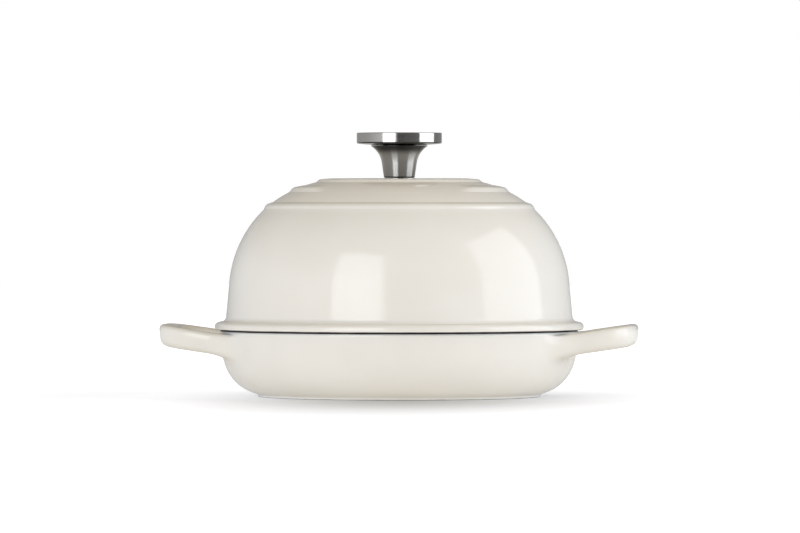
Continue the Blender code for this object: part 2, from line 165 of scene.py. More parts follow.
# Loop handles: round-cornered bars of the same casting that rise a little outwards, lean in below
# on their outer side and run in a squared loop. Each root swells and sinks into the pan's side,
# and its lower edge sweeps forward along the wall before it fades.

HANDLE_REACH = 0.0397
HANDLE_HALF_SPAN = 0.0435
BAR_W = 0.0118
BAR_H = 0.0143
BAR_DROP = 0.0012
BAR_TOP_SLOPE = radians(8.5)
BAR_UNDER_SLOPE = radians(8.1)
BAR_TOP_ROUND = 0.0039
BAR_UNDER_ROUND = 0.0044
BAR_LEAN = radians(5.5)
SQUARENESS = 4.0
LOOP_STEPS = 14
LOOP_END = radians(76.0)
ROOT_FROM = radians(15.0)
ROOT_TO = radians(30.0)
ROOT_CUTS = 4
ROOT_BLENDS = 5
SMALL_TURN = 0.01
SEAM = 1e-5
BAR_X = RIM_R + HANDLE_REACH - BAR_W / 2
ROOT_X = sqrt(RIM_R ** 2 - HANDLE_HALF_SPAN ** 2)
BAR_LOW_Z = RIM_Z - BAR_DROP - BAR_H
BAR_MID_Z = BAR_LOW_Z + BAR_H / 2


def loop_point(turn):
    """Middle of the bar in plan, on the front half of the loop: from its far end to the root."""
    size = (cos(turn) ** SQUARENESS + sin(turn) ** SQUARENESS) ** (-1 / SQUARENESS)
    return Vector((ROOT_X + (BAR_X - ROOT_X) * size * cos(turn),
                   -HANDLE_HALF_SPAN * size * sin(turn), BAR_MID_Z))


def loop_heading(turn):
    """Direction of the bar in plan, as an angle from -Y towards -X."""
    ahead = loop_point(turn + SMALL_TURN) - loop_point(max(turn - SMALL_TURN, 0.0))
    return atan2(-ahead.x, -ahead.y)


def in_root(co):
    """True on the stretch of the pan's outer side that a root opens into."""
    angle = atan2(-co.y, co.x)
    low = PAN_ARC_Z + PAN_CORNER_R * sin(OPENING_LOW)
    return (ROOT_FROM - SMALL_TURN < angle < ROOT_TO + SMALL_TURN
            and low - SEAM < co.z < OPENING_TOP_Z + SEAM
            and pan_side(co.z) - PAN_WALL / 2 < hypot(co.x, co.y) < RIM_R)


bpy.ops.object.mode_set(mode="EDIT")
select_where(in_root)
bpy.ops.mesh.delete(type="FACE")
bpy.ops.mesh.primitive_plane_add(size=1, location=(BAR_X, 0, BAR_MID_Z), rotation=(pi / 2, 0, 0))
bpy.ops.transform.resize(value=(BAR_W, 1, BAR_H))
for z, width in ((BAR_LOW_Z, BAR_UNDER_ROUND), (BAR_LOW_Z + BAR_H, BAR_TOP_ROUND)):
    select_where(lambda co: abs(co.z - z) < SAME_PLACE and abs(co.x - BAR_X) < BAR_W)
    bpy.ops.mesh.bevel(offset=width, segments=4, affect="VERTICES")

# The bar's outer side leans in below its upper round
bm = bmesh.from_edit_mesh(pan.data)
for vert in bm.verts:
    if vert.co.x > BAR_X:
        vert.co.x -= (BAR_LOW_Z + BAR_H - BAR_TOP_ROUND - vert.co.z) * tan(BAR_LEAN)

# Only the section's outline is carried round the loop
select_where(lambda co: abs(co.x - BAR_X) < BAR_W)
bpy.ops.mesh.delete(type="ONLY_FACE")
select_where(lambda co: abs(co.x - BAR_X) < BAR_W)
for i in range(LOOP_STEPS):
    turn, last = LOOP_END * (i + 1) / LOOP_STEPS, LOOP_END * i / LOOP_STEPS
    there = loop_point(turn)
    bpy.ops.mesh.extrude_region_move(TRANSFORM_OT_translate={"value": there - loop_point(last)})
    bpy.ops.transform.rotate(value=loop_heading(turn) - loop_heading(last), orient_axis="Z",
                             center_override=there)

# The bar rises outwards, its top a little more than its underside
bm = bmesh.from_edit_mesh(pan.data)
for vert in bm.verts:
    if vert.co.x > RIM_R:
        share = (vert.co.z - BAR_LOW_Z) / BAR_H
        slope = share * tan(BAR_TOP_SLOPE) + (1 - share) * tan(BAR_UNDER_SLOPE)
        vert.co.z += (vert.co.x - RIM_R) * slope
select_where(in_root, more=True)
bpy.ops.mesh.bridge_edge_loops(number_cuts=ROOT_CUTS, interpolation="LINEAR")
bpy.ops.mesh.vertices_smooth(factor=0.5, repeat=ROOT_BLENDS)

# The other three quarters, then one round of subdivision
bpy.ops.object.mode_set(mode="OBJECT")
mirror = pan.modifiers.new("other quarters", "MIRROR")
mirror.use_axis = (True, True, False)
mirror.merge_threshold = SEAM
bpy.ops.object.modifier_apply(modifier=mirror.name)
bpy.ops.object.mode_set(mode="EDIT")
bpy.ops.mesh.select_all(action="SELECT")
bpy.ops.mesh.normals_make_consistent(inside=False)
bpy.ops.object.mode_set(mode="OBJECT")
smoother = pan.modifiers.new("rounder", "SUBSURF")
smoother.levels = smoother.render_levels = 1
bpy.ops.object.modifier_apply(modifier=smoother.name)
bpy.ops.object.shade_smooth()

# Enamel: the castings are fired with a cream glass coat outside and a black satin one inside.
# The black ground coat is left bare on the rim, on the lid's seat and under the foot ring, where
# cream would chip.

# These bare widths also set how dark the seat gap between lid and pan and the foot's line on the
# table look: that darkness is partly the black enamel and partly painted shade.
RIM_BARE = 0.0005
RIM_SIDE_BARE = RIM_BARE / 3
FOOT_BARE = 0.0003
SEAT_BARE = 0.0005
COAT_RAGGED = 0.00050
COAT_EDGE = 0.00008
CREAM_THICK = (0.812, 0.792, 0.742)
CREAM_THIN = (0.797, 0.774, 0.719)
BLACK_COAT = (0.010, 0.010, 0.011)
BLACK_SPECK = (0.030, 0.030, 0.031)
CREAM_ROUGHNESS = 0.13
BLACK_ROUGHNESS = 0.42
PEEL_ROUGHNESS = 0.05
GLASS_IOR = 1.52
DRIP_WAVES = 60.0
POOLING_WAVES, POOLING_EDGES = 22.0, (0.35, 0.65)
PEEL_WAVES = 210.0
SPECK_WAVES, SPECK_EDGES = 2600.0, (0.55, 0.75)
SPECK_HEIGHT = 0.5
ENAMEL_RELIEF = 0.00006


class Value:
    """An output in a node tree; sums, differences and products on it add Math nodes."""

    def __init__(self, nodes, socket):
        self.nodes, self.socket = nodes, socket

    def beside(self, output):
        """Another output of the same node."""
        return Value(self.nodes, self.socket.node.outputs[output])

    def math(self, operation, first, second):
        return self.nodes.node("ShaderNodeMath", {"operation": operation}, {0: first, 1: second})

    def __add__(self, other):
        return self.math("ADD", self, other)

    def __radd__(self, other):
        return self.math("ADD", other, self)

    def __sub__(self, other):
        return self.math("SUBTRACT", self, other)

    def __rsub__(self, other):
        return self.math("SUBTRACT", other, self)

    def __mul__(self, other):
        return self.math("MULTIPLY", self, other)


class Nodes:
    """A node tree; every node that is added gives back one of its outputs as a Value."""

    def __init__(self, tree):
        self.tree = tree

    def feed(self, node, inputs):
        for key, value in inputs.items():
            if isinstance(value, Value):
                self.tree.links.new(value.socket, node.inputs[key])
            else:
                socket = node.inputs[key]
                socket.default_value = (*value, 1) if socket.type == "RGBA" else value

    def node(self, kind, settings=None, inputs=None, output=0):
        """Any node: its settings first, then its sockets' values or links."""
        node = self.tree.nodes.new(kind)
        for key, value in (settings or {}).items():
            setattr(node, key, value)
        self.feed(node, inputs or {})
        return Value(self, node.outputs[output]) if output is not None else None

    def mix(self, share, first, second):
        """A colour between two."""
        return self.node("ShaderNodeMix", {"data_type": "RGBA"}, {0: share, 6: first, 7: second},
                         output=2)

    def step(self, value, start, end):
        """A soft step from 0 to 1 as the value goes from start to end."""
        return self.node("ShaderNodeMapRange", {"interpolation_type": "SMOOTHSTEP"},
                         {"Value": value, "From Min": start, "From Max": end})


class Finish(Nodes):
    """The material of one finish."""

    def __init__(self, name):
        self.material = bpy.data.materials.new(name)
        self.material.use_nodes = True
        super().__init__(self.material.node_tree)
        self.shader = self.tree.nodes["Principled BSDF"]
        self.place = self.node("ShaderNodeTexCoord", output="Object")

    def noise(self, scale, detail=2.0, place=None):
        """Noise between 0 and 1, with a scale in waves per metre."""
        return self.node("ShaderNodeTexNoise", {},
                         {"Vector": place or self.place, "Scale": scale, "Detail": detail})

    def bump(self, height, distance):
        """A normal for a height between 0 and 1, at a full height in metres."""
        return self.node("ShaderNodeBump", {}, {"Height": height, "Distance": distance})

    def cover(self, *pieces):
        """Give the finish to pieces, in place of what they have."""
        for piece in pieces:
            piece.data.materials.clear()
            piece.data.materials.append(self.material)


def coat(piece, depth):
    """Keep at each vertex how deep it lies in the black coat, in metres; cream is below 0."""
    layer = piece.data.attributes.new("black_depth", "FLOAT", "POINT")
    for vert in piece.data.vertices:
        layer.data[vert.index].value = depth(hypot(vert.co.x, vert.co.y), vert.co.z)


def pan_depth(r, z):
    """Depth in the black coat on the pan."""
    if z < FOOT_H + PAN_WALL / 2:
        return FOOT_BARE - z
    if z < PAN_ARC_Z:
        outside = (r > PAN_ARC_R
                   and hypot(r - PAN_ARC_R, z - PAN_ARC_Z) > PAN_CORNER_R - PAN_WALL / 2)
    else:
        outside = r > pan_side(z) - PAN_WALL / 2
    if not outside:
        return PAN_WALL
    return min(z - (RIM_Z - RIM_BARE), RIM_R - RIM_SIDE_BARE - r)


enamel = Finish("cream_enamel")
drips = enamel.noise(DRIP_WAVES, detail=3.0)
depth = enamel.node("ShaderNodeAttribute", {"attribute_name": "black_depth"}, output="Fac")
black = enamel.step(depth + (drips - 0.5) * COAT_RAGGED, -COAT_EDGE, COAT_EDGE)
pooling = enamel.step(enamel.noise(POOLING_WAVES), *POOLING_EDGES)
cream = enamel.mix(pooling, CREAM_THICK, CREAM_THIN)
specks = enamel.noise(SPECK_WAVES, detail=1.0)
satin = enamel.mix(enamel.step(specks, *SPECK_EDGES), BLACK_COAT, BLACK_SPECK)
peel = enamel.noise(PEEL_WAVES, detail=1.5)
relief = (1 - black) * peel + black * specks * SPECK_HEIGHT
enamel.feed(enamel.shader, {
    "Base Color": enamel.mix(black, cream, satin),
    "Roughness": ((1 - black) * (CREAM_ROUGHNESS + (peel - 0.5) * PEEL_ROUGHNESS)
                  + black * BLACK_ROUGHNESS),
    "Normal": enamel.bump(relief, ENAMEL_RELIEF),
    "IOR": GLASS_IOR,
})
coat(pan, pan_depth)
enamel.cover(pan)
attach(pan, "base")
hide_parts("base_pan")

# Domed lid: the second casting. A lip under its flange drops inside the pan's rim, the wall rises
# with draft into the dome, and low steps ring the crown. The middle step is left out at the front.

FIT_GAP = 0.0003
SEAT_Z = RIM_Z + FIT_GAP
LIP_CLEARANCE = 0.0006
LIP_DEPTH = 0.0029
LIP_T = 0.0024
LIP_ROUND = 0.0008
FLANGE_R = 0.1240
FLANGE_T = 0.0047
FLANGE_RISE = 0.0015
FLANGE_LOW_ROUND = 0.0015
FLANGE_TOP_ROUND = 0.0028
FLANGE_FILLET = 0.0033
LID_TOP = SEAT_Z + 0.1017
LID_WALL = 0.0045
LID_DRAFT = radians(5.3)
DOME_R = 0.0777
DOME_DIP = 0.0011
CROWN_DIP = 0.0003

# Each step's radii: where it leaves the plain crown or the flat, its edge and its foot
OUTER_STEP = (0.0849, 0.0900, 0.0911)
OUTER_STEP_PROUD = 0.0023
OUTER_STEP_ROUND = 0.0040
MIDDLE_STEP = (0.0626, 0.0715, 0.0741)
MIDDLE_STEP_PROUD = 0.0018
MIDDLE_STEP_ROUND = 0.0034
PLATEAU = (0.0460, 0.0537, 0.0560)
PLATEAU_EDGE_DIP = 0.0006
PLATEAU_ROUND = 0.0030
PLATEAU_RINGS = (0.25, 0.6, 0.95)
STEP_FILLET = 0.0010
FRONT_GAP_HALF = radians(43.0)
FRONT_GAP_FADE = radians(10.0)
SCREW_HOLE_R = 0.0035
LID_STEPS = 192
MIDDLE_STEP_ROWS = 4
DOME_ROWS = 16
WALL_ROWS = (0.6, 0.2)
BELL_ROWS = 14
CEILING_ROWS = 10
BELL_CORNER = radians(1.5)

LIP_R = pan_side(SEAT_Z - LIP_DEPTH) - PAN_WALL / cos(PAN_DRAFT) - LIP_CLEARANCE
ROOT_Z = SEAT_Z + FLANGE_T + FLANGE_RISE
ROOT_R = (LIP_R - LIP_T - (LIP_DEPTH + ROOT_Z - SEAT_Z) * tan(LID_DRAFT)
          + LID_WALL / cos(LID_DRAFT))
DOME_Z = LID_TOP + DOME_DIP - DOME_R
DOME_CENTRE_R = (ROOT_R - (DOME_Z + DOME_R * sin(LID_DRAFT) - ROOT_Z) * tan(LID_DRAFT)
                 - DOME_R * cos(LID_DRAFT))
DOME_END = acos((OUTER_STEP[2] - DOME_CENTRE_R) / DOME_R)
CROWN_RISE = LID_TOP - CROWN_DIP - DOME_Z - DOME_R * sin(DOME_END)
CROWN_R = ((OUTER_STEP[2] - DOME_CENTRE_R) ** 2 + CROWN_RISE ** 2) / (2 * CROWN_RISE)
CROWN_Z = LID_TOP - CROWN_DIP - CROWN_R
CROWN_END = acos((OUTER_STEP[2] - DOME_CENTRE_R) / CROWN_R)
CEILING_Z = LID_TOP - CROWN_DIP - LID_WALL


def crown(r, proud=0.0):
    """Point of the plain crown at a radius, or proud of it."""
    return r, CROWN_Z + sqrt(CROWN_R ** 2 - max(r - DOME_CENTRE_R, 0.0) ** 2) + proud


def slope(start, end, count):
    """Points down the plain crown between two radii."""
    return [crown(start + (end - start) * i / (count + 1)) for i in range(1, count + 1)]


def lid_corners():
    """Section of the lid, from its screw hole over the crown, down the wall and back inside."""
    flat, top, foot = PLATEAU
    plateau = ([(SCREW_HOLE_R, LID_TOP)] + [(flat * share, LID_TOP) for share in PLATEAU_RINGS]
               + [(flat, LID_TOP), (top, LID_TOP - PLATEAU_EDGE_DIP, PLATEAU_ROUND),
                  (*crown(foot), STEP_FILLET)])
    inner, top, foot = MIDDLE_STEP
    middle = (slope(PLATEAU[2], inner, count=2) + [(*crown(inner), STEP_FILLET)]
              + [crown(inner + (top - inner) * i / MIDDLE_STEP_ROWS,
                       MIDDLE_STEP_PROUD * i / MIDDLE_STEP_ROWS)
                 for i in range(1, MIDDLE_STEP_ROWS)]
              + [(*crown(top, MIDDLE_STEP_PROUD), MIDDLE_STEP_ROUND), (*crown(foot), STEP_FILLET)])
    inner, top, foot = OUTER_STEP
    outer = (slope(MIDDLE_STEP[2], inner, count=3)
             + [(*crown(inner), STEP_FILLET), (*crown(top, OUTER_STEP_PROUD), OUTER_STEP_ROUND)])
    dome = arc(DOME_CENTRE_R, DOME_Z, DOME_R, DOME_END, LID_DRAFT, DOME_ROWS)
    heights = [dome[-1][1] * share + ROOT_Z * (1 - share) for share in WALL_ROWS]
    wall = [(ROOT_R - (z - ROOT_Z) * tan(LID_DRAFT), z) for z in heights]
    flange = [(ROOT_R, ROOT_Z, FLANGE_FILLET), (FLANGE_R, SEAT_Z + FLANGE_T, FLANGE_TOP_ROUND),
              (FLANGE_R, SEAT_Z, FLANGE_LOW_ROUND), (LIP_R, SEAT_Z)]
    lip = [(LIP_R, SEAT_Z - LIP_DEPTH, LIP_ROUND), (LIP_R - LIP_T, SEAT_Z - LIP_DEPTH, LIP_ROUND)]
    bell = arc(DOME_CENTRE_R, DOME_Z, DOME_R - LID_WALL, LID_DRAFT, DOME_END - BELL_CORNER,
               BELL_ROWS)
    ceiling = arc(DOME_CENTRE_R, CROWN_Z, CROWN_R - LID_WALL, CROWN_END + BELL_CORNER, pi / 2,
                  CEILING_ROWS)
    return (plateau + middle + outer + dome + wall + flange + lip + bell + ceiling
            + [(SCREW_HOLE_R, CEILING_Z), (SCREW_HOLE_R, LID_TOP)])


def lid_depth(r, z):
    """Depth in the black coat on the lid."""
    if z < DOME_Z and r > DOME_CENTRE_R + DOME_R / 2:
        outside = r > ROOT_R - (z - ROOT_Z) * tan(LID_DRAFT) - LID_WALL / 2
    elif r > OUTER_STEP[2]:
        outside = hypot(r - DOME_CENTRE_R, z - DOME_Z) > DOME_R - LID_WALL / 2
    else:
        outside = z > crown(r)[1] - LID_WALL / 2
    return SEAT_Z + SEAT_BARE - z if outside else LID_WALL


lid = turned("lid_casting", lid_corners(), segments=5, steps=LID_STEPS)

# The middle step sinks into the plain crown at the front
for vert in lid.data.vertices:
    r = hypot(vert.co.x, vert.co.y)
    if MIDDLE_STEP[0] < r < MIDDLE_STEP[2] and vert.co.z > crown(r)[1] - LID_WALL / 2:
        from_front = acos(max(-1.0, min(1.0, -vert.co.y / r)))
        shown = min(max((from_front - FRONT_GAP_HALF) / FRONT_GAP_FADE + 0.5, 0.0), 1.0)
        plain = crown(r)[1]
        vert.co.z = plain + (vert.co.z - plain) * shown * shown * (3 - 2 * shown)


def shade(piece, sharp=radians(40.0)):
    """Smooth shading in which flat faces stay flat."""
    bpy.ops.object.shade_smooth_by_angle(angle=sharp)
    flats = piece.modifiers.new("flats", "WEIGHTED_NORMAL")
    flats.keep_sharp = True
    bpy.ops.object.modifier_apply(modifier=flats.name)


shade(lid)
coat(lid, lid_depth)
enamel.cover(lid)
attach(lid, "lid")
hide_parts("dome_lid")

# Knob: a stainless stem and cap, both turned on a lathe. The stem flares out under the cap and
# is brushed round; the cap's edge is polished, and a spigot on the stem holds it.

STEM_Z = LID_TOP + FIT_GAP
STEM_FOOT_R = 0.0103
STEM_FOOT_ROUND = 0.0010
STEM_H = 0.0219
STEM_TAPER = radians(8.2)
STEM_FLARE_R = 0.0165
STEM_FLARE_DEPTH = 0.0119
STEM_TOP_R = 0.0190
STEM_EDGE_ROUND = 0.0003
SPIGOT_R = 0.0110
SPIGOT_H = 0.0022
BORE_R = 0.0054
BORE_DEPTH = 0.0128
CAP_Z = STEM_Z + STEM_H + FIT_GAP
CAP_R = 0.0286
CAP_T = 0.0082
CAP_UNDER_RISE = 0.0009
CAP_TOP_ROUND = 0.0006
CAP_LOW_ROUND = 0.0010
CAP_RINGS = (0.6, 0.2)
SOCKET_R = SPIGOT_R + FIT_GAP
SOCKET_DEPTH = SPIGOT_H + FIT_GAP
KNOB_STEPS = 128
FLARE_ROWS = 18
# Painted shade on the steel: bands darkened in the crease at the stem's foot, on the stem's top
# under the cap and at the cap's lower edge
STEEL_PAINTED_SHADE = (0.06, 0.06, 0.058)
STEM_FOOT_PAINTED_SHADE = (0.0006, 0.0013)
STEM_TOP_PAINTED_SHADE = (0.0020, 0.0070)
CAP_EDGE_PAINTED_SHADE = (0.0006, 0.0013)
RING_SHADE = 0.93
RING_ROUGHNESS = 0.10
CLOUD_WAVES, CLOUD_ROUGHNESS = 160.0, 0.03


def raised(corners, z):
    """Section corners moved up."""
    return [(r, height + z, *rest) for r, height, *rest in corners]


def stem_corners():
    """Section of the stem, from its blind bore down under the foot and up to the spigot."""
    taper_h = STEM_H - STEM_FLARE_DEPTH
    taper_r = STEM_FOOT_R + taper_h * tan(STEM_TAPER)
    centre_r = taper_r + STEM_FLARE_R * cos(STEM_TAPER)
    centre_z = taper_h - STEM_FLARE_R * sin(STEM_TAPER)
    flare = arc(centre_r, centre_z, STEM_FLARE_R, pi - STEM_TAPER,
                acos((STEM_TOP_R - centre_r) / STEM_FLARE_R), FLARE_ROWS)
    return ([(0, BORE_DEPTH), (BORE_R, BORE_DEPTH), (BORE_R, 0),
             (STEM_FOOT_R, 0, STEM_FOOT_ROUND)] + flare
            + [(STEM_TOP_R, STEM_H, STEM_EDGE_ROUND), (SPIGOT_R, STEM_H),
               (SPIGOT_R, STEM_H + SPIGOT_H), (0, STEM_H + SPIGOT_H)])


stem = turned("knob_stem_turned", raised(stem_corners(), STEM_Z), segments=4, steps=KNOB_STEPS)
shade(stem)

cap_corners = ([(0, SOCKET_DEPTH), (SOCKET_R, SOCKET_DEPTH), (SOCKET_R, 0), (STEM_TOP_R, 0),
                (CAP_R, CAP_UNDER_RISE, CAP_LOW_ROUND), (CAP_R, CAP_T, CAP_TOP_ROUND)]
               + [(CAP_R * share, CAP_T) for share in CAP_RINGS] + [(0, CAP_T)])
cap = turned("knob_cap_turned", raised(cap_corners, CAP_Z), segments=8, steps=KNOB_STEPS)
shade(cap)


def turned_steel(name, colour, roughness, ring_height, waves, painted_shade_z=()):
    """Lathe-turned stainless steel: fine rings round the axis, on sides and on flats.

    The rings' waves per metre are given out from the axis and up it. Painted shade darkens the
    steel in bands of height, standing in for the shade in the crease at the stem's foot and under
    the cap: from the first height to the second of each pair, the metal goes from painted shade to
    its own colour.
    """
    steel = Finish(name)
    flat = steel.node("ShaderNodeVectorMath", {"operation": "MULTIPLY"},
                      {0: steel.place, 1: (1.0, 1.0, 0.0)})
    radius = steel.node("ShaderNodeVectorMath", {"operation": "LENGTH"}, {0: flat}, output="Value")
    height = steel.node("ShaderNodeSeparateXYZ", {}, {"Vector": steel.place}, output="Z")
    line = steel.node("ShaderNodeCombineXYZ", {}, {"X": radius * waves[0], "Y": height * waves[1]})
    rings = steel.noise(1.0, detail=3.0, place=line)
    cloud = steel.noise(CLOUD_WAVES)
    steel_colour = steel.mix(rings, tuple(c * RING_SHADE for c in colour), colour)
    # Each pair of heights lays one band of painted shade
    for dark, bright in painted_shade_z:
        unshaded = steel.step(height, min(dark, bright), max(dark, bright))
        steel_colour = steel.mix(unshaded if dark < bright else 1 - unshaded, STEEL_PAINTED_SHADE, steel_colour)
    steel.feed(steel.shader, {
        "Base Color": steel_colour,
        "Metallic": 1.0,
        "Roughness": (roughness + (rings - 0.5) * RING_ROUGHNESS
                      + (cloud - 0.5) * CLOUD_ROUGHNESS),
        "Normal": steel.bump(rings, ring_height),
    })
    return steel


# The stem gets painted shade at its foot and under the cap, and the cap gets it at its lower edge
brushed = turned_steel("brushed_steel", colour=(0.42, 0.415, 0.405), roughness=0.30,
                       ring_height=0.000002, waves=(5200.0, 5200.0),
                       painted_shade_z=([STEM_Z + up for up in STEM_FOOT_PAINTED_SHADE],
                               [STEM_Z + STEM_H - down for down in STEM_TOP_PAINTED_SHADE]))
brushed.feed(brushed.shader, {"Anisotropic": 1.0, "Anisotropic Rotation": 0.25})
polished = turned_steel("polished_steel", colour=(0.57, 0.56, 0.54), roughness=0.11,
                        ring_height=0.000002, waves=(4200.0, 1500.0),
                        painted_shade_z=([CAP_Z + CAP_UNDER_RISE + up for up in CAP_EDGE_PAINTED_SHADE],))
brushed.cover(stem)
polished.cover(cap)
for piece, node in ((stem, "knob_stem"), (cap, "knob_cap")):
    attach(piece, "lid")
    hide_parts(node)

# Fixing inside the lid: a pan-head screw with a cross recess comes up through a washer and the
# lid's hole into a threaded insert in the stem. All three are plain stainless steel.

SCREW_R = 0.0030
SCREW_REACH = 0.0100
HEAD_R = 0.0058
HEAD_T = 0.0034
HEAD_ROUND = 0.0020
SHANK_END_ROUND = 0.0004
WASHER_R = 0.0072
WASHER_T = 0.0010
WASHER_CHAMFER = 0.0002
SLOT_L = 0.0062
SLOT_W = 0.0011
SLOT_DEPTH = 0.0020
SLOT_TAPER = 0.55
WASHER_Z = CEILING_Z - FIT_GAP - WASHER_T
HEAD_Z = WASHER_Z - FIT_GAP
SCREW_TOP = STEM_Z + SCREW_REACH
SCREW_STEPS = 64

washer = turned("washer_stamped", [
    (SCREW_HOLE_R, WASHER_Z), (WASHER_R, WASHER_Z, WASHER_CHAMFER),
    (WASHER_R, WASHER_Z + WASHER_T, WASHER_CHAMFER), (SCREW_HOLE_R, WASHER_Z + WASHER_T),
    (SCREW_HOLE_R, WASHER_Z)], segments=2, steps=SCREW_STEPS)
shade(washer)

screw = turned("screw_cross_recessed", [
    (0, HEAD_Z - HEAD_T), (HEAD_R, HEAD_Z - HEAD_T, HEAD_ROUND), (HEAD_R, HEAD_Z),
    (SCREW_R, HEAD_Z), (SCREW_R, SCREW_TOP, SHANK_END_ROUND), (0, SCREW_TOP)],
    segments=5, steps=SCREW_STEPS)

# The cross recess, narrower towards its bottom
for name, size in (("slot_across", (SLOT_L, SLOT_W)), ("slot_along", (SLOT_W, SLOT_L))):
    bpy.ops.object.select_all(action="DESELECT")
    bpy.ops.mesh.primitive_cube_add(size=1, location=(0, 0, HEAD_Z - HEAD_T))
    slot = bpy.context.object
    bpy.ops.object.mode_set(mode="EDIT")
    bpy.ops.transform.resize(value=(*size, 2 * SLOT_DEPTH))
    select_where(lambda co: co.z > 0)
    bpy.ops.transform.resize(value=(SLOT_TAPER, SLOT_TAPER, 1))
    bpy.ops.object.mode_set(mode="OBJECT")
    bpy.context.view_layer.objects.active = screw
    cut = screw.modifiers.new(name, "BOOLEAN")
    cut.operation, cut.object = "DIFFERENCE", slot
    bpy.ops.object.modifier_apply(modifier=cut.name)
    bpy.data.objects.remove(slot)
bpy.ops.object.select_all(action="DESELECT")
screw.select_set(True)
bpy.context.view_layer.objects.active = screw
shade(screw)

screw_steel = turned_steel("screw_steel", colour=(0.42, 0.41, 0.40), roughness=0.30,
                           ring_height=0.000006, waves=(2600.0, 2600.0))
screw_steel.cover(washer, screw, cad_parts["knob_insert"])
for piece, node in ((washer, "screw_washer"), (screw, "knob_screw")):
    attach(piece, "lid")
    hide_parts(node)

# Studio: a white table under soft white light. One window of light stands in front to the left,
# one to the right and one behind, and the room in between is grey in the steel. Round the oven the
# table's real shadow is deepened by a painted shadow: the white that the camera sees of the table
# is dimmer near the oven.

WINDOW_DISTANCE = 1.6
WINDOW_COLOUR = (1.0, 1.02, 1.065)
WINDOW_LOW = 0.02
LEFT_AZIMUTH, LEFT_WIDTH, LEFT_HIGH, LEFT_RADIANCE = radians(-23.3), 0.96, 1.27, 2.55
RIGHT_AZIMUTH, RIGHT_WIDTH, RIGHT_HIGH, RIGHT_RADIANCE = radians(86.5), 1.50, 1.70, 1.89
BACK_AZIMUTH, BACK_WIDTH, BACK_RADIANCE = radians(180.0), 0.90, 1.6
BACK_LOW, BACK_HIGH = 0.60, 1.90

FLOOR_HALF = 6.0
FLOOR_WHITE = 0.50
FLOOR_ROUGHNESS = 0.9

# The painted shadow: the table's white as the camera sees it at three distances from the oven's
# middle, and how much faster it brightens to the sides, the front and the back
GLOW_NEAR_R = -0.005
GLOW_MIDDLE, GLOW_MIDDLE_R = 0.73, 0.235
GLOW_FAR, GLOW_FAR_R = 1.0, 0.80
GLOW_X = 0.012
GLOW_SIDE, GLOW_FRONT, GLOW_BACK = 1.27, 0.475, 1.2
GLOW_COLOUR = (0.95, 0.98, 1.04)
GLOW_IN_GLOSS = 0.45

# What the table throws up at the oven, and the painted pools of light on it that only gloss sees
TABLE_LIGHT = (0.41, 0.38, 0.33)
POOL_R = (0.40, 0.55)
POOL_EDGE = 0.03

ROOM_R = 3.0
ROOM_CEILING = (0.30, 0.288, 0.270)
ROOM_CEILING_Z = (0.22 * ROOM_R, 0.45 * ROOM_R)
HORIZON_LIGHT = (0.89, 1.00, 1.18)
SIDE_LIGHT = (1.92, 2.26, 2.84)
OVERHEAD_LIGHT = (0.275, 0.175, 0.01)
SIDE_SHIFT = 0.02
SIDE_EDGES = (0.35, 0.95)
OVERHEAD_EDGES = (0.0, 0.65)

EYE_DISTANCE = 4.5
EYE_Z = 0.130
EYE_TURN = radians(4.5)
EYE_REACH = 20.0
SENSOR_W = 36.0
METRES_PER_PIXEL = 0.0006725
IMAGE_W, IMAGE_H = 800, 533
AXIS_PX_X = 399.3
TABLE_PX_Y = 396.4

bpy.ops.object.select_all(action="DESELECT")
bpy.ops.mesh.primitive_plane_add(size=2 * FLOOR_HALF)
floor = bpy.context.object
floor.name = "studio_table"
table = Finish("white_table")
apart = table.node("ShaderNodeSeparateXYZ", {}, {"Vector": table.place})
fore_aft = apart.beside("Y")
fore_aft = (fore_aft.math("MINIMUM", fore_aft, 0.0) * GLOW_FRONT
            + fore_aft.math("MAXIMUM", fore_aft, 0.0) * GLOW_BACK)
painted_shadow_place = table.node("ShaderNodeCombineXYZ", {}, {"X": (apart - GLOW_X) * GLOW_SIDE, "Y": fore_aft})
away = table.node("ShaderNodeVectorMath", {"operation": "LENGTH"}, {0: painted_shadow_place}, output="Value")
# Painted shadow round the oven: the white that the camera sees fades in from the oven outwards
white_less_painted_shadow = (table.step(away, GLOW_NEAR_R, GLOW_MIDDLE_R) * GLOW_MIDDLE
         + table.step(away, GLOW_MIDDLE_R, GLOW_FAR_R) * (GLOW_FAR - GLOW_MIDDLE))
rays = {kind: table.node("ShaderNodeLightPath", output="Is %s Ray" % kind)
        for kind in ("Camera", "Glossy", "Transmission", "Diffuse")}


def azimuth_of(place):
    """Azimuth of a place that is split into X, Y and Z, from the front to the right."""
    return place.math("ARCTAN2", place, place.beside("Y") * -1.0)


def painted_pool(azimuth, width):
    """Mask of a painted pool of light: the stretch of the table between the oven and a window of
    light, 1 inside it.
    """
    half = atan2(width / 2, WINDOW_DISTANCE)
    turn = azimuth_of(apart)
    start, end = azimuth - half, azimuth + half
    return (table.step(turn, start - POOL_EDGE, start + POOL_EDGE)
            - table.step(turn, end - POOL_EDGE, end + POOL_EDGE))


